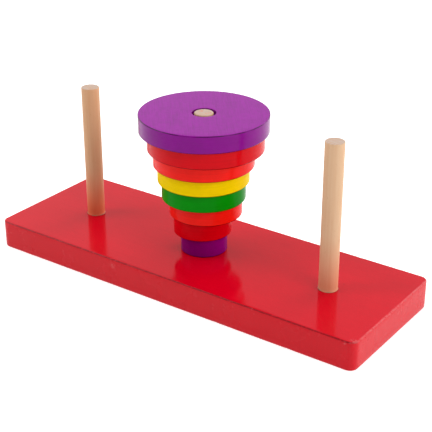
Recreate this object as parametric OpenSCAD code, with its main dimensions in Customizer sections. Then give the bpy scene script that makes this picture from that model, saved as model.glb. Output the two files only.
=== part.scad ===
// Tower puzzle: eight graded wooden discs on the middle one of three pegs.
// Millimetres, +Z up. The origin is the centre of the board's underside,
// +X runs along the board, and -Y is its front long side.

/* [Board] */
// Length of the board, along X
board_len = 230; // [190:1:290]
// Width of the board, along Y
board_w = 79; // [62:0.5:110]
// Thickness of the board
board_t = 16; // [12:0.5:30]
// Radius of the board's four upright corners
board_corner_r = 4.5; // [2:0.5:12]
// Rounding of the board's top and bottom edges
board_edge_r = 0.8; // [0.3:0.1:1.5]

/* [Pegs] */
// Diameter of the dowel that the pegs are cut from
peg_d = 10; // [7:0.5:14]
// Distance between neighbouring peg centres
peg_pitch = 77.5; // [60:0.5:86]
// How far the middle peg's top stands above the top disc
peg_proud = 0.1; // [0:0.1:4]
// How much higher (or lower) the left peg stands than the middle one
left_peg_seat = -1.7; // [-4:0.1:4]
// How much higher (or lower) the right peg stands than the middle one
right_peg_seat = 2; // [-4:0.1:4]
// Rounding of the pegs' top edge
peg_edge_r = 0.4; // [0.2:0.1:1.5]
// Step in radius between the peg and its thinner tenon
tenon_step = 0.25; // [0.2:0.05:1]
// Glue gap all round each tenon and under its end
glue_gap = 0.1; // [0.05:0.05:0.4]
// Wood left under each peg's socket
socket_floor = 5.6; // [3:0.1:8]

/* [Disc diameters] */
// Smallest disc, at the bottom
disc_1_d = 25.2; // [20:0.2:90]
// Second disc
disc_2_d = 31.2; // [20:0.2:90]
// Third disc
disc_3_d = 39.2; // [20:0.2:90]
// Fourth disc
disc_4_d = 45; // [20:0.2:90]
// Fifth disc
disc_5_d = 49; // [20:0.2:90]
// Sixth disc
disc_6_d = 54; // [20:0.2:90]
// Seventh disc
disc_7_d = 62; // [20:0.2:90]
// Largest disc, at the top
disc_8_d = 68.6; // [20:0.2:90]

/* [Disc thicknesses] */
// Smallest disc, at the bottom
disc_1_t = 11; // [5:0.1:15]
// Second disc
disc_2_t = 10.7; // [5:0.1:15]
// Third disc
disc_3_t = 9.4; // [5:0.1:15]
// Fourth disc
disc_4_t = 9.6; // [5:0.1:15]
// Fifth disc
disc_5_t = 9.2; // [5:0.1:15]
// Sixth disc
disc_6_t = 8.9; // [5:0.1:15]
// Seventh disc
disc_7_t = 9.6; // [5:0.1:15]
// Largest disc, at the top
disc_8_t = 9.5; // [5:0.1:15]

/* [Disc fit] */
// Gap between the peg and the wall of a disc's hole when both are centred
disc_gap = 1.3; // [0.5:0.1:2]
// Rounding of the discs' outer edges
disc_edge_r = 0.5; // [0.2:0.1:1.5]
// Rounding at the mouths of the discs' holes
hole_edge_r = 0.3; // [0.1:0.1:0.8]

/* [Hidden] */
$fn = 96;

peg_r = peg_d / 2;
tenon_r = peg_r - tenon_step;
socket_r = tenon_r + glue_gap;
socket_depth = board_t - socket_floor;
tenon_len = socket_depth - glue_gap;

disc_d = [disc_1_d, disc_2_d, disc_3_d, disc_4_d, disc_5_d, disc_6_d, disc_7_d, disc_8_d];
disc_t = [disc_1_t, disc_2_t, disc_3_t, disc_4_t, disc_5_t, disc_6_t, disc_7_t, disc_8_t];
hole_r = peg_r + disc_gap;

// Where each loose disc came to rest beside the peg's axis, as shares of disc_gap in X and Y.
disc_lean = [[-0.3, 0.2], [-0.7, -0.3], [0.3, 0.7], [-0.1, -0.1], [-0.3, 0], [-0.1, 0], [0.7, 0.3], [0, 0.1]];

// Height of the first n discs of the stack.
function stack_height(n) = n == 0 ? 0 : disc_t[n - 1] + stack_height(n - 1);

middle_peg_h = stack_height(8) + peg_proud;
left_peg_h = middle_peg_h + left_peg_seat;
right_peg_h = middle_peg_h + right_peg_seat;

// A rectangle from the origin with its four corners rounded.
module rounded_rect(w, h, r) {
    translate([r, 0]) square([w - 2 * r, h]);
    translate([0, r]) square([w, h - 2 * r]);
    for (x = [r, w - r], y = [r, h - r])
        translate([x, y]) circle(r);
}

// A bar along X, centred on X and Y, whose long edges are rounded.
module edged_bar(len, w, h, r) {
    rotate([90, 0, 90])
        linear_extrude(height = len, center = true)
            translate([-w / 2, 0]) rounded_rect(w, h, r);
}

// A post at one corner, rounded like the bars that meet it.
module corner_post(radius, h, r) {
    rotate_extrude() {
        square([radius - r, h]);
        translate([0, r]) square([radius, h - 2 * r]);
        for (y = [r, h - r])
            translate([radius - r, y]) circle(r);
    }
}

// The board with rounded corners and edges, before its sockets are bored.
module board_blank() {
    post_x = board_len / 2 - board_corner_r;
    post_y = board_w / 2 - board_corner_r;
    edged_bar(2 * post_x, board_w, board_t, board_edge_r);
    rotate([0, 0, 90]) edged_bar(2 * post_y, board_len, board_t, board_edge_r);
    for (x = [-post_x, post_x], y = [-post_y, post_y])
        translate([x, y, 0]) corner_post(board_corner_r, board_t, board_edge_r);
}

module base_board() {
    color([0.78, 0.06, 0.1])
        difference() {
            board_blank();
            for (x = [-peg_pitch, 0, peg_pitch])
                translate([x, 0, socket_floor]) cylinder(r = socket_r, h = socket_depth + 1);
        }
}

// A peg of height h above the board, with its tenon in the board's socket.
module peg(x, h) {
    color([0.84, 0.68, 0.5])
        translate([x, 0, board_t]) {
            translate([0, 0, -tenon_len]) cylinder(r = tenon_r, h = tenon_len + 1);
            rotate_extrude() {
                square([peg_r, h - peg_edge_r]);
                square([peg_r - peg_edge_r, h]);
                translate([peg_r - peg_edge_r, h - peg_edge_r]) circle(peg_edge_r);
            }
        }
}

module left_peg() { peg(-peg_pitch, left_peg_h); }
module middle_peg() { peg(0, middle_peg_h); }
module right_peg() { peg(peg_pitch, right_peg_h); }

// The section of a disc from its hole to its rim.
module disc_section(radius, h) {
    body_r = radius - disc_edge_r;
    mouth_r = hole_r + hole_edge_r;
    translate([hole_r, hole_edge_r]) square([mouth_r - hole_r, h - 2 * hole_edge_r]);
    translate([mouth_r, 0]) square([body_r - mouth_r, h]);
    translate([body_r, disc_edge_r]) square([disc_edge_r, h - 2 * disc_edge_r]);
    for (z = [hole_edge_r, h - hole_edge_r])
        translate([mouth_r, z]) circle(hole_edge_r);
    for (z = [disc_edge_r, h - disc_edge_r])
        translate([body_r, z]) circle(disc_edge_r);
}

// Disc number n, counted from the board up.
module disc(n, paint) {
    lean = disc_gap * disc_lean[n - 1];
    color(paint)
        translate([lean.x, lean.y, board_t + stack_height(n - 1)])
            rotate_extrude() disc_section(disc_d[n - 1] / 2, disc_t[n - 1]);
}

module disc_1() { disc(1, [0.4, 0.02, 0.34]); }
module disc_2() { disc(2, [0.76, 0, 0.03]); }
module disc_3() { disc(3, [0.84, 0.13, 0.09]); }
module disc_4() { disc(4, [0.02, 0.5, 0.08]); }
module disc_5() { disc(5, [0.96, 0.82, 0.02]); }
module disc_6() { disc(6, [0.88, 0.12, 0.13]); }
module disc_7() { disc(7, [0.76, 0.02, 0.1]); }
module disc_8() { disc(8, [0.5, 0.16, 0.52]); }

base_board();
left_peg();
middle_peg();
right_peg();
disc_1();
disc_2();
disc_3();
disc_4();
disc_5();
disc_6();
disc_7();
disc_8();
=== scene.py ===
# %% [markdown]
# # A tower puzzle in red lacquer and painted wood
# Eight discs with a hole through the middle are threaded on the centre peg of a long board, and a bare peg
# stands at either side of them. The script opens the imported CAD model first, and builds each visible piece
# on top of the solid that it replaces, with the solid's own size and place. What a solid's corners and
# vertices don't tell is set here: roundings, worn edges, glue, painted light and shade, and finishes.

# %% Open the imported model
import math

import bmesh
import bpy
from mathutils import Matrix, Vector, noise


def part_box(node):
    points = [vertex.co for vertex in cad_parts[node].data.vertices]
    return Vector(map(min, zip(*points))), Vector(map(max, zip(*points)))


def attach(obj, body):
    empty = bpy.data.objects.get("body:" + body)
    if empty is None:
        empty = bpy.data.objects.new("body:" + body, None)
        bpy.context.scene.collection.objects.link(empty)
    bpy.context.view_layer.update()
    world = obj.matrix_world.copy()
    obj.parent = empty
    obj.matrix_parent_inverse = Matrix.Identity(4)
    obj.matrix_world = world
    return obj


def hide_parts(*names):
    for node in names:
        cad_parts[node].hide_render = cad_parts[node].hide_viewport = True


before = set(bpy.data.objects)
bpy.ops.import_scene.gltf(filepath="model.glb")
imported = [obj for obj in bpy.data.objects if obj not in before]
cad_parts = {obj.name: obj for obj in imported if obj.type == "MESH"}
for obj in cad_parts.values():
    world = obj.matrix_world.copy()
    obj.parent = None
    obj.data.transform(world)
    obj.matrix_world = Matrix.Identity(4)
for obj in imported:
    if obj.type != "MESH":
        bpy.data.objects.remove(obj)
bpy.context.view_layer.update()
MM = 0.001
print("nodes:", sorted(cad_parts))

# %% [markdown]
# ## Sizes taken from the solids
# A turned piece is described by a handful of numbers: its axis, its lowest and highest point, the radius of
# its rim and the radius of its hole. They could be typed in again, but then the pictures would drift away
# from the model. Reading them from each solid's vertices keeps both the same, whatever size the model is
# given.

# %% Measure the pegs and the discs
def turned_sizes(node):
    """Axis, lowest and highest point, and largest and smallest radius of a round solid, in metres."""
    low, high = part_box(node)
    axis = (low + high) / 2
    reach = [math.hypot(v.co.x - axis.x, v.co.y - axis.y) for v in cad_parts[node].data.vertices]
    return {"x": axis.x, "y": axis.y, "low": low.z, "high": high.z, "rim": max(reach), "hole": min(reach)}


def middle_of(size):
    """The point halfway up a round solid's axis."""
    return (size["x"], size["y"], (size["low"] + size["high"]) / 2)


board_low, board_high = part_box("base_board")
BOARD_TOP = board_high.z
peg_sizes = {node: turned_sizes(node) for node in ("left_peg", "middle_peg", "right_peg")}
disc_sizes = {f"disc_{n}": turned_sizes(f"disc_{n}") for n in range(1, 9)}
for node, size in {**peg_sizes, **disc_sizes}.items():
    print(node, {key: round(value / MM, 2) for key, value in size.items()})

# %% [markdown]
# ## Node trees written as sums
# Shaders and Geometry Nodes are both graphs of nodes. Written one link at a time they are hard to read, so
# a Wire stands for one socket and knows the usual operators: `1 - mask * 0.5` adds the Math nodes that work
# it out. A Bench adds every other kind of node from its type, its settings and what goes into its sockets.

# %% Wires
class Wire:
    """One output socket of a node tree. Arithmetic on it adds Math nodes."""

    def __init__(self, tree, socket):
        self.tree = tree
        self.socket = socket

    def math(self, operation, *operands):
        node = self.tree.nodes.new("ShaderNodeMath")
        node.operation = operation
        for slot, operand in zip(node.inputs, operands):
            plug(self.tree, operand, slot)
        return Wire(self.tree, node.outputs[0])

    def __add__(self, other):
        return self.math("ADD", self, other)

    def __sub__(self, other):
        return self.math("SUBTRACT", self, other)

    def __rsub__(self, other):
        return self.math("SUBTRACT", other, self)

    def __mul__(self, other):
        return self.math("MULTIPLY", self, other)

    def __truediv__(self, other):
        return self.math("DIVIDE", self, other)

    def __pow__(self, other):
        return self.math("POWER", self, other)

    def __abs__(self):
        return self.math("ABSOLUTE", self)

    __radd__ = __add__
    __rmul__ = __mul__

    def least(self, other):
        return self.math("MINIMUM", self, other)

    def most(self, other):
        return self.math("MAXIMUM", self, other)

    def root(self):
        return self.math("SQRT", self)

    def sine(self):
        return self.math("SINE", self)


def plug(tree, value, slot):
    """Link a wire to an input socket, or set the socket to a plain value."""
    if isinstance(value, Wire):
        tree.links.new(value.socket, slot)
    else:
        slot.default_value = value


print("wires ready")

# %% A bench for every other node
class Bench:
    """A node tree that is being built."""

    def __init__(self, tree):
        self.tree = tree

    def add(self, kind, settings=None, sockets=None, output=0):
        """Add a node; its settings go first, then the values or wires of its sockets."""
        node = self.tree.nodes.new(kind)
        for name, value in (settings or {}).items():
            setattr(node, name, value)
        for name, value in (sockets or {}).items():
            plug(self.tree, value, node.inputs[name])
        return Wire(self.tree, node.outputs[output])

    def split(self, vector):
        """The X, Y and Z wires of a vector."""
        parts = self.add("ShaderNodeSeparateXYZ", sockets={"Vector": vector}).socket.node
        return [Wire(self.tree, parts.outputs[axis]) for axis in "XYZ"]

    def join(self, x, y, z):
        """A vector from its X, Y and Z."""
        return self.add("ShaderNodeCombineXYZ", sockets={"X": x, "Y": y, "Z": z})


print("bench ready")

# %% [markdown]
# ## The parts that every finish shares
# A believable paint or wood needs the same few tools: a place on the piece, noise that can be stretched
# along the grain, a soft threshold that turns noise into spots, and one Principled shader at the end. All
# patterns are laid out in the object's own coordinates, so a grain line that is made 0.4 mm wide in the
# shader is 0.4 mm wide on the toy.

# %% Tools for finishes
# A Mix node has one set of sockets for each kind of value. These are the numbers of those for colours.
MIX_FACTOR = 0
MIX_FIRST = 6
MIX_SECOND = 7
MIX_RESULT = 2


class Finish(Bench):
    """The node tree of one material, from the object's coordinates to the Principled shader."""

    def __init__(self, name, centre=(0, 0, 0)):
        self.material = bpy.data.materials.new(name)
        self.material.use_nodes = True
        super().__init__(self.material.node_tree)
        self.tree.nodes.clear()
        place = self.add("ShaderNodeTexCoord", output="Object")
        away = tuple(-c for c in centre)
        self.place = self.add("ShaderNodeMapping", sockets={"Vector": place, "Location": away})
        self.x, self.y, self.z = self.split(self.place)
        facing = self.add("ShaderNodeTexCoord", output="Normal")
        self.nx, self.ny, self.nz = self.split(facing)

    def noise(self, feature, seed, turn=0.0, detail=2.0, rough=0.5):
        """Noise between 0 and 1. A feature is its size along X, Y and Z in millimetres, turned about Z."""
        turned = self.add("ShaderNodeMapping", sockets={"Vector": self.place, "Rotation": (0, 0, turn)})
        scale = tuple(1 / (size * MM) for size in feature)
        vector = self.add("ShaderNodeMapping", sockets={"Vector": turned, "Scale": scale})
        return self.add(
            "ShaderNodeTexNoise",
            {"noise_dimensions": "4D"},
            {"Vector": vector, "W": seed, "Scale": 1.0, "Detail": detail, "Roughness": rough},
        )

    def above(self, value, low, high):
        """0 below low, 1 above high, and a smooth step between them. Low may be the larger one."""
        return self.add(
            "ShaderNodeMapRange",
            {"interpolation_type": "SMOOTHSTEP"},
            {"Value": value, "From Min": low, "From Max": high},
        )

    def mixed(self, factor, first, second):
        """Two colours mixed; factor 1 gives the second."""
        sockets = {MIX_FACTOR: factor, MIX_FIRST: first, MIX_SECOND: second}
        return self.add("ShaderNodeMix", {"data_type": "RGBA"}, sockets, MIX_RESULT)

    def bumped(self, height, depth, under=None):
        """A normal from a height between 0 and 1 that stands for a depth in metres."""
        sockets = {"Height": height, "Distance": depth, "Strength": 1.0}
        if under is not None:
            sockets["Normal"] = under
        return self.add("ShaderNodeBump", sockets=sockets)

    def close(self, sockets):
        """End the tree in a Principled shader. Constants are set on the shader's own sockets."""
        shader = self.add("ShaderNodeBsdfPrincipled", sockets=sockets)
        out = self.tree.nodes.new("ShaderNodeOutputMaterial")
        self.tree.links.new(shader.socket, out.inputs["Surface"])
        return self.material


def rgb(red, green, blue):
    """A linear colour with full alpha."""
    return (red, green, blue, 1.0)


print("finish tools ready")

# %% [markdown]
# ## Red lacquer for the board
# The board is sprayed with a glossy red lacquer over sanded wood. Up close it isn't perfect: the film is
# slightly wavy, so reflections of the pegs have soft, uneven sides; the wood's grain telegraphs through
# very faintly along the length, and as upright streaks on the sides; a few dust nibs are caught in it; and
# where it was knocked or is thin, small chips show the paler primer. The short top edges are paler lines.
# The long top edges carry a painted dark line, which is painted shade for the dark room that they reflect,
# and painted contact shade rings each peg. An image could carry all this, but noise in object space has
# no seams and no limit.

# %% Colours and marks of the lacquer
LACQUER_RED = rgb(0.55, 0.0, 0.011)
LACQUER_DEEP = rgb(0.28, 0.0, 0.004)
# Also used for the painted shade along the board's long top edges.
LACQUER_DARK = rgb(0.13, 0.0, 0.003)
LACQUER_CHALKY = rgb(0.43, 0.007, 0.012)
PRIMER_PINK = rgb(0.5, 0.075, 0.08)
# Painted contact shade: a near-black hairline on the board round each peg's foot, and how wide it is.
JOINT_CONTACT_SHADE = rgb(0.05, 0.004, 0.004)
CONTACT_SHADE_WIDTH = 0.3 * MM
# Where dust was caught in the wet film on the top: X, Y and radius in millimetres.
DUST_NIBS = [
    (-96.5, -9.9, 0.5),
    (-59.6, -31.8, 0.4),
    (82.1, 8.3, 0.5),
    (34.0, 22.0, 0.3),
    (-28.0, -25.5, 0.3),
]
# Where the film was knocked off: X, Y, Z and radius in millimetres. The noise breaks each one up.
KNOCKS = [
    (113.2, -37.0, 15.8, 2.6),
    (109.5, -39.5, 14.9, 1.3),
    (-32.0, -39.5, 12.0, 2.2),
    (57.7, -39.3, 15.6, 1.0),
    (114.8, -4.0, 15.7, 1.2),
    (-113.0, -38.2, 15.6, 1.0),
    (-60.0, 39.4, 15.6, 1.4),
    (30.0, 39.5, 9.0, 2.0),
    (-114.9, 22.0, 15.5, 1.3),
    (70.0, 39.3, 0.6, 1.5),
]


def spot_mask(finish, spots):
    """1 in the middle of each spot, 0 from its edge on. A spot is a place and a radius in millimetres."""
    total = 0.0
    for *place, radius in spots:
        squares = [(wire - value * MM) ** 2 for wire, value in zip((finish.x, finish.y, finish.z), place)]
        total = finish.above(sum(squares).root(), radius * MM, 0.15 * radius * MM) + total
    return total


def contact_shade_mask(finish):
    """1 in a hairline of painted contact shade on the board's top round each peg."""
    total = 0.0
    for size in peg_sizes.values():
        across = (finish.x - size["x"]) ** 2 + (finish.y - size["y"]) ** 2
        outside = across.root() - size["rim"]
        total = finish.above(outside, CONTACT_SHADE_WIDTH, 0.5 * CONTACT_SHADE_WIDTH) + total
    return total * finish.above(finish.nz, 0.5, 0.8)


print("marks in the lacquer:", len(DUST_NIBS), "nibs,", len(KNOCKS), "knocks")

# %% Lacquer
# Sizes of the film's patterns along X, Y and Z, in millimetres.
LONG_GRAIN = (50, 1.6, 1.6)
UPRIGHT_STREAKS = (1.1, 1.1, 12)
FILM_CLOUDS = (30, 20, 20)
FILM_GRIT = (0.6, 0.6, 0.6)
FILM_CRUMBS = (1.4, 1.4, 1.4)
FILM_WAVES = (6, 6, 6)
FILM_SMEARS = (20, 12, 20)
# How deep the patterns seem, by the way they turn the light.
WAVE_DEPTH = 0.012 * MM
STREAK_DEPTH = 0.003 * MM
GRIT_DEPTH = 0.002 * MM
NIB_HEIGHT = 0.06 * MM
# A real lacquer's index is about 1.5. A lower one keeps the red deep in this bright room.
LACQUER_IOR = 1.22


def lacquer():
    finish = Finish("red_lacquer")
    on_flat = finish.above(abs(finish.nz), 0.5, 0.8)
    along = finish.noise(LONG_GRAIN, seed=1, detail=3)
    upright = finish.noise(UPRIGHT_STREAKS, seed=2, detail=3, rough=0.6)
    cloudy = finish.noise(FILM_CLOUDS, seed=3, detail=3)
    grit = finish.noise(FILM_GRIT, seed=4)
    nibs = spot_mask(finish, DUST_NIBS) * on_flat
    edge = finish.add("ShaderNodeAttribute", {"attribute_name": "edge"}, output="Fac")
    crumbs = finish.noise(FILM_CRUMBS, seed=5, detail=3, rough=0.6)
    chips = edge * finish.above(crumbs, 0.7, 0.76)
    knocked = spot_mask(finish, KNOCKS) * finish.above(crumbs, 0.45, 0.56)
    bare = chips.most(knocked)
    streaks = along * on_flat + upright * (1 - on_flat)
    tone = (streaks - 0.5) * (0.5 - on_flat * 0.3)
    tone = tone + (cloudy - 0.5) * 0.35 + (grit - 0.5) * (1.2 - on_flat * 0.7)
    colour = finish.mixed((0.25 - tone).most(0.0).least(1.0), LACQUER_RED, LACQUER_DEEP)
    colour = finish.mixed((1 - on_flat) * 0.6, colour, LACQUER_CHALKY)
    colour = finish.mixed(nibs.least(1.0) * 0.8, colour, LACQUER_DARK)
    rounding = finish.above(finish.nz, 0.1, 0.35) * finish.above(finish.nz, 0.97, 0.85)
    long_edge_shade = rounding * finish.above(abs(finish.ny), 0.15, 0.4)
    end_edges = rounding * finish.above(abs(finish.nx), 0.15, 0.4)
    # Painted shade: a dark line along the long top edges, for the dark room that they reflect.
    colour = finish.mixed(long_edge_shade * finish.above(crumbs, 0.25, 0.55) * 0.75, colour, LACQUER_DARK)
    colour = finish.mixed(end_edges * finish.above(crumbs, 0.35, 0.55) * 0.7, colour, PRIMER_PINK)
    colour = finish.mixed(bare * 0.8, colour, PRIMER_PINK)
    # Painted contact shade round each peg's foot.
    colour = finish.mixed(contact_shade_mask(finish).least(1.0) * 0.85, colour, JOINT_CONTACT_SHADE)
    normal = finish.bumped(finish.noise(FILM_WAVES, seed=7), WAVE_DEPTH)
    normal = finish.bumped(streaks, STREAK_DEPTH, normal)
    normal = finish.bumped(grit, GRIT_DEPTH, normal)
    normal = finish.bumped(nibs - bare, NIB_HEIGHT, normal)
    smears = finish.noise(FILM_SMEARS, seed=9, detail=4, rough=0.6)
    roughness = 0.09 + smears * 0.08 + bare * 0.35 + (1 - on_flat) * 0.14
    sockets = {"Base Color": colour, "Roughness": roughness, "Normal": normal, "IOR": LACQUER_IOR}
    return finish.close(sockets)


red_lacquer = lacquer()
print(red_lacquer.name, len(red_lacquer.node_tree.nodes), "nodes")

# %% [markdown]
# ## The board
# The board is a plank with rounded upright corners and slightly softened edges. A cube with a Bevel
# modifier would do for a distant view, but here the outline is worked out as rings: each ring is the same
# rounded rectangle, moved inwards as it climbs over an edge, and an edge's rings can be worn unevenly. The
# flat top and bottom are even grids, so that boring the sockets with a Boolean, as a drill would, only cuts
# the few faces round each one.

# %% The board's outline
CORNER = 4.5 * MM
GRID_STEP = 2.0 * MM
ARC_STEPS = 8
half_x = (board_high.x - board_low.x) / 2
half_y = (board_high.y - board_low.y) / 2
flat_x = half_x - CORNER
flat_y = half_y - CORNER
count_x = round(2 * flat_x / GRID_STEP)
count_y = round(2 * flat_y / GRID_STEP)


def outline(inset):
    """A rounded rectangle moved inwards, anticlockwise from the front left, with one count of points."""
    radius = CORNER - inset
    sides = [
        (Vector((-flat_x, -flat_y)), Vector((flat_x, -flat_y)), count_x, -90),
        (Vector((flat_x, -flat_y)), Vector((flat_x, flat_y)), count_y, 0),
        (Vector((flat_x, flat_y)), Vector((-flat_x, flat_y)), count_x, 90),
        (Vector((-flat_x, flat_y)), Vector((-flat_x, -flat_y)), count_y, 180),
    ]
    points = []
    for start, end, count, facing in sides:
        out = Vector((math.cos(math.radians(facing)), math.sin(math.radians(facing)))) * radius
        points += [start.lerp(end, i / count) + out for i in range(count + 1)]
        for i in range(1, ARC_STEPS):
            angle = math.radians(facing + 90 * i / ARC_STEPS)
            points.append(end + Vector((math.cos(angle), math.sin(angle))) * radius)
    return points


print("outline points:", len(outline(0.0)))

# %% Rings over a worn edge
EDGE = 0.8 * MM
EDGE_STEPS = 5
# Two more rings beside the edge, so that its soft shading ends close to it.
BESIDE_EDGE = [0.6 * MM, 1.8 * MM]
# How deep sanding and knocks go into an edge, and about how many waves of each there are in a metre.
SANDED_OFF = 0.06 * MM
KNOCKED_OFF = 0.25 * MM
SANDING_WAVES = 140
KNOCK_WAVES = 420
# Moves the knocks' noise away from the sanding's, and the level above which it counts as a knock.
KNOCK_SHIFT = Vector((3, 1, 7))
KNOCK_LEVEL = 0.4


def edge_rings(z, direction):
    """Inset, height and edge weight of the rings that climb over an edge, from the side to the flat."""
    rings = []
    for i in range(EDGE_STEPS + 1):
        angle = math.radians(90 * i / EDGE_STEPS)
        weight = 0.25 + 0.75 * math.sin(2 * angle)
        rings.append((EDGE * (1 - math.cos(angle)), z - direction * EDGE * (1 - math.sin(angle)), weight))
    return rings + [(EDGE + gap, z, 0.0) for gap in BESIDE_EDGE] + [(CORNER, z, 0.0)]


def worn(co, weight):
    """Move a point of the edge inwards a little, more where sanding or a knock took more away."""
    sanding = noise.noise(co * SANDING_WAVES) * 0.5 + 0.5
    knock = max(noise.noise(co * KNOCK_WAVES + KNOCK_SHIFT) - KNOCK_LEVEL, 0.0)
    depth = weight * (SANDED_OFF * sanding + KNOCKED_OFF * knock)
    return Vector([c - math.copysign(depth, c) for c in co])


print("rings over an edge:", len(edge_rings(0.0, -1)))

# %% Build the board from its rings
SIDE_STEPS = 6
# Points closer than this are one point.
MERGE_DISTANCE = 0.002 * MM


def board_mesh():
    board_t = board_high.z - board_low.z
    side = [(0.0, EDGE + (board_t - 2 * EDGE) * i / SIDE_STEPS, 0.0) for i in range(1, SIDE_STEPS)]
    rings = edge_rings(0.0, -1)[::-1] + side + edge_rings(board_t, 1)
    bm = bmesh.new()
    layer = bm.verts.layers.float.new("edge")
    rows = []
    for inset, z, weight in rings:
        row = []
        for point in outline(inset):
            co = Vector((point.x, point.y, z - board_t / 2))
            vert = bm.verts.new(worn(co, weight) + Vector((0, 0, board_t / 2)))
            vert[layer] = weight
            row.append(vert)
        rows.append(row)
    join_rows(bm, rows)
    fill_flat(bm, 0.0, -1)
    fill_flat(bm, board_t, 1)
    bmesh.ops.remove_doubles(bm, verts=bm.verts, dist=MERGE_DISTANCE)
    bmesh.ops.recalc_face_normals(bm, faces=bm.faces)
    return bm


def join_rows(bm, rows):
    """Faces between closed rings of points that lie one above another."""
    for low, high in zip(rows, rows[1:]):
        for i in range(len(low)):
            j = (i + 1) % len(low)
            bm.faces.new((low[i], low[j], high[j], high[i]))


def fill_flat(bm, z, order):
    """Fill the flat inside the innermost ring with an even grid. Their shared points are merged later."""
    grid = [
        [
            bm.verts.new((-flat_x + 2 * flat_x * i / count_x, -flat_y + 2 * flat_y * j / count_y, z))
            for j in range(count_y + 1)
        ]
        for i in range(count_x + 1)
    ]
    for i in range(count_x):
        for j in range(count_y):
            bm.faces.new((grid[i][j], grid[i + 1][j], grid[i + 1][j + 1], grid[i][j + 1])[::order])


def finished_object(name, bm, material):
    """A new object at the origin from a bmesh, smooth shaded, with one material."""
    mesh = bpy.data.meshes.new(name)
    bm.to_mesh(mesh)
    bm.free()
    mesh.materials.append(material)
    mesh.polygons.foreach_set("use_smooth", [True] * len(mesh.polygons))
    piece = bpy.data.objects.new(name, mesh)
    bpy.context.scene.collection.objects.link(piece)
    return piece


board = finished_object("lacquered_board", board_mesh(), red_lacquer)
print(board.name, len(board.data.polygons), "faces,", [round(d / MM, 2) for d in board.dimensions])

# %% Bore the sockets
SOCKET_GAP = 0.1 * MM
SOCKET_SIDES = 64
DRILL_OVER_TOP = 1 * MM
# Points this far below the board's top are on a peg's tenon, and not on its shoulder.
BELOW_SHOULDER = 1 * MM


def tenon_radius(node):
    """Radius of the thinner end of a peg, below the board's top."""
    size = peg_sizes[node]
    below = [v.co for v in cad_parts[node].data.vertices if v.co.z < BOARD_TOP - BELOW_SHOULDER]
    return max(math.hypot(co.x - size["x"], co.y - size["y"]) for co in below)


def bore_sockets(piece):
    bm = bmesh.new()
    for node, size in peg_sizes.items():
        radius = tenon_radius(node) + SOCKET_GAP
        depth = BOARD_TOP - size["low"] + SOCKET_GAP + DRILL_OVER_TOP
        made = bmesh.ops.create_cone(
            bm, cap_ends=True, segments=SOCKET_SIDES, radius1=radius, radius2=radius, depth=depth
        )
        middle = Vector((size["x"], size["y"], size["low"] - SOCKET_GAP + depth / 2))
        bmesh.ops.translate(bm, verts=made["verts"], vec=middle)
    drill = finished_object("drill", bm, red_lacquer)
    cut = piece.modifiers.new("sockets", "BOOLEAN")
    cut.object = drill
    cut.operation = "DIFFERENCE"
    cut.solver = "EXACT"
    settle(piece)
    bpy.data.objects.remove(drill)


def settle(piece):
    """Make what the modifiers show the piece's own mesh, and take the modifiers off."""
    bpy.context.view_layer.update()
    shown = piece.evaluated_get(bpy.context.evaluated_depsgraph_get())
    mesh = bpy.data.meshes.new_from_object(shown)
    piece.modifiers.clear()
    piece.data = mesh


bore_sockets(board)
print(board.name, len(board.data.polygons), "faces after boring")

# %% [markdown]
# ## Bare dowel
# The pegs are cut from pale hardwood dowel and left bare. Dowel shows three things: long grain that runs up
# the peg as soft bands, short dark flecks where the wood's rays are cut, and on the end, growth rings with
# open pores. The shader takes all three from one set of coordinates centred on the peg, so the rings on the
# end meet the bands on the side. A painted red glow, for the light that the red board throws back onto the
# peg, fades out up the peg, and a little glue darkens its foot.

# %% Colours and grain of the dowel
WOOD_PALE = rgb(0.515, 0.345, 0.212)
WOOD_WARM = rgb(0.46, 0.225, 0.1)
WOOD_FLECK = rgb(0.27, 0.13, 0.06)
WOOD_END = rgb(0.41, 0.335, 0.29)
# Painted red bounce light, for the light that the red board throws back onto a peg's foot.
FOOT_RED_BOUNCE = rgb(0.7, 0.08, 0.02)
GLUE = rgb(0.26, 0.2, 0.14)
PAINT_FLECK = rgb(0.6, 0.05, 0.04)
BEAD_HEIGHT = 0.45 * MM
# The painted red bounce light, for the light that the red board throws back, is gone at this height above
# the board, and would be full a little below the board's top.
RED_BOUNCE_TOP = 34 * MM
RED_BOUNCE_FULL = -4 * MM
# The heart of the tree that the dowel was cut from, beside the peg's axis, and how wide a year ring is and
# how far it bends.
PITH_X = 9 * MM
PITH_Y = -5 * MM
YEAR_RING = 1.7 * MM
RING_BEND = 1.6 * MM
# Sizes of the wood's patterns along X, Y and Z, in millimetres.
WOOD_BENDS = (4, 4, 50)
WOOD_FIBRES = (0.9, 0.9, 30)
WOOD_RAYS = (0.35, 0.35, 2.4)
WOOD_PORES = (0.35, 0.35, 4)
WOOD_BLOTCHES = (5, 5, 18)
GLUE_PATCHES = (4, 4, 4)
FIBRE_DEPTH = 0.01 * MM
PORE_DEPTH = 0.02 * MM
# A real wood's index is about 1.5. A lower one keeps its colour warm in this bright room.
WOOD_IOR = 1.35
print("dowel: year rings", YEAR_RING / MM, "mm wide")

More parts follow.
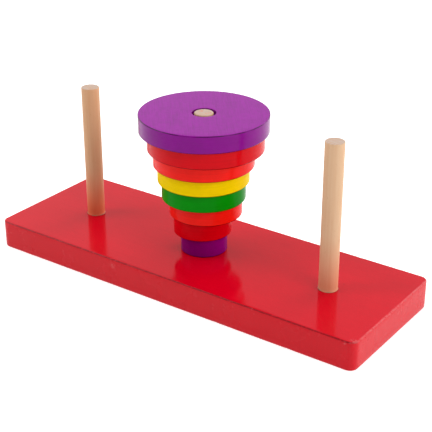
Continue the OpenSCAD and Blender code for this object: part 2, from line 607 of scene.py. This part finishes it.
# %% Dowel wood
def dowel_wood(name, centre, seed, warmth, red_bounce, paint_spots):
    """Bare dowel round an axis, foot at the centre. Warmth and painted red bounce are between 0 and 1."""
    finish = Finish(name, centre)
    on_end = finish.above(finish.nz, 0.7, 0.9)
    bend = finish.noise(WOOD_BENDS, seed)
    pith_x = finish.x - PITH_X + bend * RING_BEND
    pith_y = finish.y - PITH_Y
    ring_place = (pith_x * pith_x + pith_y * pith_y).root() / YEAR_RING
    rings = 0.5 + 0.5 * (ring_place * 2 * math.pi).sine()
    long_grain = finish.noise(WOOD_FIBRES, seed + 1, detail=3)
    flecks = finish.noise(WOOD_RAYS, seed + 2, detail=1)
    pores = finish.noise(WOOD_PORES, seed + 3)
    blotch = finish.noise(WOOD_BLOTCHES, seed + 4, detail=3)
    tone = warmth + rings * 0.12 + (long_grain - 0.5) * 0.3 + (blotch - 0.5) * 0.5
    colour = finish.mixed(tone.most(0.0).least(1.0), WOOD_PALE, WOOD_WARM)
    fleck_mask = finish.above(flecks, 0.66, 0.78) * (1 - on_end) * 0.35
    colour = finish.mixed(fleck_mask, colour, WOOD_FLECK)
    # Painted red bounce light from the board, strongest at the peg's foot.
    colour = finish.mixed(finish.above(finish.z, RED_BOUNCE_TOP, RED_BOUNCE_FULL) * red_bounce, colour, FOOT_RED_BOUNCE)
    end_tone = (rings * 0.35 + (blotch - 0.4)).most(0.0).least(0.6)
    end_colour = finish.mixed(end_tone, WOOD_END, WOOD_WARM)
    pore_mask = finish.above(pores, 0.56, 0.68) * 0.45
    end_colour = finish.mixed(pore_mask, end_colour, WOOD_FLECK)
    if paint_spots:
        smudge = spot_mask(finish, paint_spots) * (0.6 + pores * 0.8)
        end_colour = finish.mixed(smudge.least(0.9), end_colour, PAINT_FLECK)
    colour = finish.mixed(on_end, colour, end_colour)
    patchy = finish.noise(GLUE_PATCHES, seed + 5, detail=1)
    glue = finish.above(finish.z, BEAD_HEIGHT, 0.6 * BEAD_HEIGHT) * finish.above(patchy, 0.4, 0.55)
    colour = finish.mixed(glue * 0.7, colour, GLUE)
    normal = finish.bumped(long_grain, FIBRE_DEPTH)
    normal = finish.bumped(1 - fleck_mask - pore_mask * on_end, PORE_DEPTH, normal)
    roughness = 0.5 + long_grain * 0.2 + on_end * 0.15 - glue * 0.3
    return finish.close({"Base Color": colour, "Roughness": roughness, "Normal": normal, "IOR": WOOD_IOR})


print("dowel wood ready")

# %% [markdown]
# ## The three pegs
# A peg is a turned shape: a short tenon that goes into the board, a small shoulder that sits on it with a
# bead of glue round it, and the long part with its top edge sanded round. The outline is written as radius
# and height and spun in code. A machine-made dowel is never quite round, so each ring is nudged by a few
# hundredths of a millimetre.

# %% The outline of a peg
PEG_EDGE = 0.4 * MM
PEG_EDGE_STEPS = 4
PEG_RINGS = 40
GLUE_BULGE = 0.2 * MM
# The glue bead's outline: share of the bulge and share of the height, from the board upwards.
BEAD_SHAPE = [(0.95, 0.0), (0.9, 0.3), (0.6, 0.6), (0.2, 0.85), (0.0, 1.0)]
# Inner rings of the foot and of the top, as shares of their radius, so that the flats shade evenly.
INNER_RING = 0.3
OUTER_RING = 0.85


def peg_outline(size, tenon):
    """Radius and height of a peg's outline, from near the middle of its foot round to that of its top."""
    rim, top = size["rim"], size["high"]
    points = [(INNER_RING * tenon, size["low"]), (tenon, size["low"]), (tenon, BOARD_TOP)]
    points += [(rim + bulge * GLUE_BULGE, BOARD_TOP + rise * BEAD_HEIGHT) for bulge, rise in BEAD_SHAPE]
    foot = BOARD_TOP + BEAD_HEIGHT
    straight = top - PEG_EDGE - foot
    points += [(rim, foot + straight * i / PEG_RINGS) for i in range(1, PEG_RINGS + 1)]
    for i in range(1, PEG_EDGE_STEPS + 1):
        angle = math.radians(90 * i / PEG_EDGE_STEPS)
        points.append((rim - PEG_EDGE * (1 - math.cos(angle)), top - PEG_EDGE * (1 - math.sin(angle))))
    return points + [(OUTER_RING * (rim - PEG_EDGE), top), (INNER_RING * rim, top)]


for node, size in peg_sizes.items():
    print(node, len(peg_outline(size, tenon_radius(node))), "points in the outline")

# %% Spin an outline
PEG_SIDES = 72
PEG_OUT_OF_ROUND = 0.03 * MM
# The noise that a peg's wall follows: how fast it changes round the peg, and in each metre along it.
ROUND_WAVES = 0.9
RISE_WAVES = 60
# Taken off the noise, so that the wall is pulled in more than it is pushed out.
PULLED_IN = 0.6


def spin(points, size, seed):
    """A closed turned shape from an outline, with its wall a little out of round."""
    bm = bmesh.new()
    rows = []
    for radius, z in points:
        row = []
        for i in range(PEG_SIDES):
            angle = 2 * math.pi * i / PEG_SIDES
            way = Vector((math.cos(angle), math.sin(angle), 0))
            out = noise.noise(way * ROUND_WAVES + Vector((seed, 0, z * RISE_WAVES))) - PULLED_IN
            place = Vector((size["x"], size["y"], z)) + way * (radius + PEG_OUT_OF_ROUND * out)
            row.append(bm.verts.new(place))
        rows.append(row)
    join_rows(bm, rows)
    for row in (rows[0], rows[-1]):
        middle = sum((v.co for v in row), Vector()) / PEG_SIDES
        hub = bm.verts.new(middle)
        for i in range(PEG_SIDES):
            bm.faces.new((row[i], row[(i + 1) % PEG_SIDES], hub))
    bmesh.ops.recalc_face_normals(bm, faces=bm.faces)
    return bm


print("pegs have", PEG_SIDES, "sides")

# %% Turn the pegs
# Specks of red paint on the end of the middle peg, as X, Y and radius in millimetres.
MIDDLE_PEG_SPECKS = [(-2.0, 1.0, 0.9), (-2.6, 0.1, 0.4), (1.9, -0.8, 0.5), (2.5, 0.4, 0.5), (3.0, 1.6, 0.5)]
# How warm each peg's wood is, how strong the painted red bounce at its foot is, and the specks on its end.
PEG_WOOD = {
    "left_peg": (0.6, 0.75, []),
    "middle_peg": (0.3, 0.3, MIDDLE_PEG_SPECKS),
    "right_peg": (0.15, 0.4, []),
}
FIRST_PEG_SEED = 20
pegs = {}
for seed, (node, size) in enumerate(peg_sizes.items(), start=FIRST_PEG_SEED):
    centre = (size["x"], size["y"], BOARD_TOP)
    wood = dowel_wood(f"dowel_{node}", centre, seed, *PEG_WOOD[node])
    shape = spin(peg_outline(size, tenon_radius(node)), size, seed)
    pegs[node] = finished_object(f"turned_{node}", shape, wood)
    print(pegs[node].name, [round(d / MM, 2) for d in pegs[node].dimensions])

# %% [markdown]
# ## Painted discs
# The discs are turned from wood and painted in five colours, with the smallest in a plum tint of the
# largest one's purple. The paint is satin, not glossy. Fine lines from the lathe run round the rim and a
# straight grain shows faintly across the faces, because the paint sinks into the wood. Along the sharp
# edges the paint is thin and darker, with a few tiny nicks. The rounded edges also carry painted shade,
# for the dark room that they reflect, and it is strongest on the lower edges, which face down into shade.

# %% Colours of the discs
PURPLE = rgb(0.24, 0.0, 0.245)
PLUM = rgb(0.19, 0.0, 0.125)
RED = rgb(0.5, 0.0, 0.004)
ORANGE_RED = rgb(0.67, 0.007, 0.003)
GREEN = rgb(0.0, 0.195, 0.001)
YELLOW = rgb(0.65, 0.455, 0.0)
# From the smallest disc at the bottom to the largest on top: colour, index of refraction, and how much
# deeper the rim is than the faces. A real paint's index is about 1.5. Lower ones keep the colours deep in
# this bright room.
DISC_PAINTS = [
    (PLUM, 1.12, 0.0),
    (RED, 1.08, 0.0),
    (ORANGE_RED, 1.15, 0.0),
    (GREEN, 1.12, 0.0),
    (YELLOW, 1.07, 0.0),
    (ORANGE_RED, 1.18, 0.0),
    (RED, 1.17, 0.0),
    (PURPLE, 1.21, 0.3),
]
# The deeper tints of a paint are shares of its colour. The pale one goes a share of the way to white.
DEEP_SHARE = 0.5
DEEPEST_SHARE = 0.08
PALE_SHARE = 0.1
EDGE_BAND = 0.7 * MM
# Sizes of the paint's patterns along X, Y and Z, in millimetres.
FACE_GRAIN = (0.6, 12, 2)
LATHE_LINES = (20, 20, 0.45)
PAINT_CLOUDS = (9, 9, 6)
PAINT_CRUMBS = (1.1, 1.1, 1.1)
PAINT_MOTTLE = (2.2, 2.2, 1.4)
CLOUD_DEPTH = 0.02 * MM
LINE_DEPTH = 0.006 * MM
NICK_DEPTH = 0.03 * MM
# Each disc's grain is turned by this much more than the one below it, in radians.
GRAIN_TURN = 0.7
print("disc paints:", len({colour for colour, _, _ in DISC_PAINTS}))

# %% Disc paint
def disc_paint(name, colour, index, rim_depth, size, seed):
    """Satin paint for one disc, laid out round the disc's own centre."""
    height = size["high"] - size["low"]
    finish = Finish(name, middle_of(size))
    radius = (finish.x * finish.x + finish.y * finish.y).root()
    on_face = finish.above(abs(finish.nz), 0.6, 0.8)
    from_rim = size["rim"] - radius
    from_face = height / 2 - abs(finish.z)
    from_edge = (from_rim * from_rim + from_face * from_face).root()
    edge = finish.above(from_edge, EDGE_BAND, 0.2 * EDGE_BAND)
    grain = finish.noise(FACE_GRAIN, seed, turn=GRAIN_TURN * seed, detail=3, rough=0.6)
    lathe = finish.noise(LATHE_LINES, seed + 0.5)
    cloudy = finish.noise(PAINT_CLOUDS, seed + 0.7, detail=3)
    crumbs = finish.noise(PAINT_CRUMBS, seed + 0.9, detail=3, rough=0.6)
    mottle = finish.noise(PAINT_MOTTLE, seed + 0.3)
    lines = grain * on_face + lathe * (1 - on_face)
    nicks = edge * finish.above(crumbs, 0.62, 0.7)
    deep = rgb(*(DEEP_SHARE * c for c in colour[:3]))
    deepest = rgb(*(DEEPEST_SHARE * c for c in colour[:3]))
    pale = rgb(*(c + PALE_SHARE * (1 - c) for c in colour[:3]))
    tone = (lines - 0.5) * (0.6 + on_face * 0.5) + (cloudy - 0.5) * 0.4
    tone = tone + (mottle - 0.5) * (0.3 + on_face * 0.2)
    shade = finish.mixed((0.15 - tone).most(0.0).least(1.0), colour, deep)
    # Thinner paint and painted shade: a dark line, broken up by noise, along the edges.
    thin_paint_and_edge_shade = edge * finish.above(crumbs, 0.3, 0.5)
    shade = finish.mixed((thin_paint_and_edge_shade * 0.6).most(nicks * 0.7), shade, deep)
    shade = finish.mixed((1 - on_face) * rim_depth, shade, deepest)
    # Painted shade on the rounded edges, for the dark room they reflect, and more where they face down.
    rounding = finish.above(abs(finish.nz), 0.1, 0.3) * finish.above(abs(finish.nz), 0.97, 0.85)
    under = finish.above(finish.nz, 0.0, -0.1)
    broken = finish.above(cloudy, 0.35, 0.6)
    shade = finish.mixed((rounding * (broken + under * 0.7)).least(0.8), shade, deepest)
    shade = finish.mixed(finish.above(crumbs, 0.7, 0.8) * 0.2, shade, pale)
    normal = finish.bumped(cloudy, CLOUD_DEPTH)
    normal = finish.bumped(lines, LINE_DEPTH, normal)
    normal = finish.bumped(1 - nicks, NICK_DEPTH, normal)
    roughness = 0.13 + lines * 0.08 + cloudy * 0.06 + nicks * 0.2
    return finish.close({"Base Color": shade, "Roughness": roughness, "Normal": normal, "IOR": index})


paints = {
    node: disc_paint(f"paint_{node}", *DISC_PAINTS[n - 1], size, n)
    for n, (node, size) in enumerate(disc_sizes.items(), start=1)
}
print("painted finishes:", sorted(paints))

# %% [markdown]
# ## The discs, from one rule
# All eight discs follow one rule: a rectangle with rounded corners, swept round a circle. That is a job for
# Geometry Nodes. The tree takes the sizes as named inputs, rounds the corners by one radius at the rim and
# another at the hole, sweeps the section, and nudges the rim out of round with seeded noise. Each disc is
# the same tree with its own numbers, and the result is kept as a plain mesh.

# %% The turned disc as a Geometry Nodes tree
SECTION_CUTS = 8
ROUNDING_STEPS = 5
WOBBLE_SCALE = 2.5
DISC_INPUTS = {
    "Rim radius": "NodeSocketFloat",
    "Hole radius": "NodeSocketFloat",
    "Thickness": "NodeSocketFloat",
    "Rim rounding": "NodeSocketFloat",
    "Hole rounding": "NodeSocketFloat",
    "Sides": "NodeSocketInt",
    "Out of round": "NodeSocketFloat",
    "Seed": "NodeSocketFloat",
    "Centre": "NodeSocketVector",
    "Paint": "NodeSocketMaterial",
}


def disc_tree():
    tree = bpy.data.node_groups.new("turned_disc", "GeometryNodeTree")
    tree.interface.new_socket("Geometry", in_out="OUTPUT", socket_type="NodeSocketGeometry")
    for name, kind in DISC_INPUTS.items():
        tree.interface.new_socket(name, in_out="INPUT", socket_type=kind)
    bench = Bench(tree)
    group = tree.nodes.new("NodeGroupInput")
    give = {name: Wire(tree, group.outputs[name]) for name in DISC_INPUTS}
    swept = out_of_round(bench, swept_section(bench, give), give)
    placed = bench.add("GeometryNodeSetPosition", sockets={"Geometry": swept, "Offset": give["Centre"]})
    smooth = bench.add("GeometryNodeSetShadeSmooth", sockets={"Geometry": placed, "Shade Smooth": True})
    real = bench.add("GeometryNodeRealizeInstances", sockets={"Geometry": smooth})
    painted = bench.add("GeometryNodeSetMaterial", sockets={"Geometry": real, "Material": give["Paint"]})
    out = tree.nodes.new("NodeGroupOutput")
    plug(tree, painted, out.inputs["Geometry"])
    return tree


def swept_section(bench, give):
    """The section of the disc's wall, with its corners rounded, swept round a circle."""
    wall = give["Rim radius"] - give["Hole radius"]
    middle = (give["Rim radius"] + give["Hole radius"]) * 0.5
    block = {"Width": wall, "Height": give["Thickness"]}
    section = bench.add("GeometryNodeCurvePrimitiveQuadrilateral", sockets=block)
    section = bench.add("GeometryNodeSubdivideCurve", sockets={"Curve": section, "Cuts": SECTION_CUTS})
    along = bench.split(bench.add("GeometryNodeInputPosition"))[0]
    at_hole = bench.add("FunctionNodeCompare", {"operation": "LESS_THAN"}, {"A": along, "B": 0.0})
    choice = {"Switch": at_hole, "False": give["Rim rounding"], "True": give["Hole rounding"]}
    radius = bench.add("GeometryNodeSwitch", {"input_type": "FLOAT"}, choice)
    corners = {"Curve": section, "Count": ROUNDING_STEPS, "Radius": radius}
    section = bench.add("GeometryNodeFilletCurve", {"mode": "POLY"}, corners)
    circle = {"Resolution": give["Sides"], "Radius": middle}
    path = bench.add("GeometryNodeCurvePrimitiveCircle", sockets=circle)
    swept = bench.add("GeometryNodeCurveToMesh", sockets={"Curve": path, "Profile Curve": section})
    return bench.add("GeometryNodeMergeByDistance", sockets={"Geometry": swept, "Distance": MERGE_DISTANCE})


def out_of_round(bench, swept, give):
    """Pull the disc in a little, unevenly round it, most at the rim and nothing at the hole."""
    x, y, _ = bench.split(bench.add("GeometryNodeInputPosition"))
    reach = (x * x + y * y).root()
    way_x = x / reach
    way_y = y / reach
    way = bench.join(way_x, way_y, 0.0)
    sockets = {"Vector": way, "W": give["Seed"], "Scale": WOBBLE_SCALE, "Detail": 2.0}
    wobble = bench.add("ShaderNodeTexNoise", {"noise_dimensions": "4D"}, sockets)
    share = (reach - give["Hole radius"]) / (give["Rim radius"] - give["Hole radius"])
    pull = wobble * share * give["Out of round"] * -1.0
    offset = bench.join(way_x * pull, way_y * pull, 0.0)
    return bench.add("GeometryNodeSetPosition", sockets={"Geometry": swept, "Offset": offset})


turned_disc = disc_tree()
print(turned_disc.name, len(turned_disc.nodes), "nodes")

# %% Make the eight discs
RIM_ROUNDING = 0.5 * MM
HOLE_ROUNDING = 0.3 * MM
RIM_OUT_OF_ROUND = 0.12 * MM
# A hair of air between stacked discs, so that no two painted faces lie in the same plane.
SEAT_GAP = 0.01 * MM
# A disc's sides: a base count, and some more for each millimetre of its radius.
LEAST_SIDES = 96
SIDES_PER_MM = 4


def made_by_tree(name, tree, values):
    """Run a Geometry Nodes tree with its inputs set by name, and keep the result as a plain mesh."""
    piece = bpy.data.objects.new(name, bpy.data.meshes.new(name))
    bpy.context.scene.collection.objects.link(piece)
    modifier = piece.modifiers.new(name, "NODES")
    modifier.node_group = tree
    inputs = [item for item in tree.interface.items_tree if item.in_out == "INPUT"]
    for item in inputs:
        modifier[item.identifier] = values[item.name]
    settle(piece)
    return piece


discs = {}
for n, (node, size) in enumerate(disc_sizes.items(), start=1):
    values = {
        "Rim radius": size["rim"],
        "Hole radius": size["hole"],
        "Thickness": size["high"] - size["low"] - 2 * SEAT_GAP,
        "Rim rounding": RIM_ROUNDING,
        "Hole rounding": HOLE_ROUNDING,
        "Sides": LEAST_SIDES + SIDES_PER_MM * round(size["rim"] / MM),
        "Out of round": RIM_OUT_OF_ROUND,
        "Seed": float(n),
        "Centre": middle_of(size),
        "Paint": paints[node],
    }
    disc = made_by_tree(f"painted_{node}", turned_disc, values)
    discs[node] = disc
    print(disc.name, len(disc.data.polygons), "faces", [round(d / MM, 2) for d in disc.dimensions])

# %% [markdown]
# ## Which piece moves with what
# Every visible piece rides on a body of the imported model, and stands for the solid that it hides. The board
# and the pegs are one body, glued together. Each disc is a body of its own, because it slides up the peg.

# %% Hand the pieces to the frame
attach(board, "base")
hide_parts("base_board")
for node, peg in pegs.items():
    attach(peg, "base")
    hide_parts(node)
for node, disc in discs.items():
    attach(disc, node)
    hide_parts(node)
print("pieces:", 1 + len(pegs) + len(discs))

# %% [markdown]
# ## Floor, light and camera
# The toy stands on a white table that glows a little, as a lit acrylic sheet does, so that its own shadow
# almost goes away. No lamps are needed: the sky is a sum of soft glows. Wide ones, low, half-way up and
# straight above, fill the room with light. Three narrower ones, at the left, the front right and the back
# right, give the pegs a brighter side and cast the soft shadows beside them.

# %% Floor
FLOOR_SIZE = 12.0
TABLE_CLOUDS = (400, 400, 400)
TABLE_WHITE = rgb(0.8, 0.8, 0.8)
TABLE_GREY = rgb(0.76, 0.76, 0.76)
TABLE_GLOW = 0.45


def glowing_table():
    finish = Finish("white_table")
    colour = finish.mixed(finish.noise(TABLE_CLOUDS, seed=40) * 0.2, TABLE_WHITE, TABLE_GREY)
    glow = {"Emission Color": rgb(1, 1, 1), "Emission Strength": TABLE_GLOW}
    return finish.close({"Base Color": colour, "Roughness": 0.6, **glow})


floor_bm = bmesh.new()
bmesh.ops.create_grid(floor_bm, x_segments=8, y_segments=8, size=FLOOR_SIZE / 2)
floor = finished_object("table", floor_bm, glowing_table())
print("table", FLOOR_SIZE, "m across")

# %% Sky
VIEW_AZIMUTH = math.radians(35.5)
WIDE = 6.0
NARROW = 40.0
# Each glow: degrees to the right of the camera's side, degrees above the horizon, strength, sharpness.
SKY_GLOWS = [
    (45, 10, 1.6, WIDE),
    (90, 10, 2.0, WIDE),
    (135, 10, 1.5, WIDE),
    (225, 10, 2.0, WIDE),
    (180, 50, 0.85, WIDE),
    (270, 50, 0.7, WIDE),
    (0, 90, 0.8, WIDE),
    (45, 35, 8.0, NARROW),
    (135, 35, 5.0, NARROW),
    (270, 35, 9.0, NARROW),
]


def towards(azimuth, elevation):
    """The direction at an angle to the right of the toy's front and an angle above the horizon."""
    flat = math.cos(elevation)
    return Vector((math.sin(azimuth) * flat, -math.cos(azimuth) * flat, math.sin(elevation)))


def soft_sky():
    world = bpy.data.worlds.new("soft_sky")
    bpy.context.scene.world = world
    world.use_nodes = True
    bench = Bench(world.node_tree)
    world.node_tree.nodes.clear()
    x, y, z = bench.split(bench.add("ShaderNodeTexCoord", output="Generated"))
    light = 0.0
    for turn, rise, strength, sharpness in SKY_GLOWS:
        glow = towards(VIEW_AZIMUTH + math.radians(turn), math.radians(rise))
        nearness = x * glow.x + y * glow.y + z * glow.z
        light = nearness.most(0.0) ** sharpness * strength + light
    background = bench.add("ShaderNodeBackground", sockets={"Color": rgb(1, 1, 1), "Strength": light})
    out = world.node_tree.nodes.new("ShaderNodeOutputWorld")
    world.node_tree.links.new(background.socket, out.inputs["Surface"])


soft_sky()
print("sky:", len(SKY_GLOWS), "soft glows")

# %% Camera
VIEW_ELEVATION = math.radians(25.48)
VIEW_DISTANCE = 0.6154
LENS_MM = 93.24
SENSOR_MM = 36.0
AIM = Vector((-2.8, 14.7, 28.5)) * MM


def camera_at(azimuth, elevation, distance):
    data = bpy.data.cameras.new("view")
    data.lens = LENS_MM
    data.sensor_width = SENSOR_MM
    data.clip_start = 10 * MM
    camera = bpy.data.objects.new("view", data)
    bpy.context.scene.collection.objects.link(camera)
    back = towards(azimuth, elevation)
    camera.location = AIM + back * distance
    camera.rotation_euler = (-back).to_track_quat("-Z", "Y").to_euler()
    bpy.context.scene.camera = camera
    return camera


camera = camera_at(VIEW_AZIMUTH, VIEW_ELEVATION, VIEW_DISTANCE)
bpy.context.scene.view_settings.view_transform = "Standard"
print("camera at", [round(c, 3) for c in camera.location])
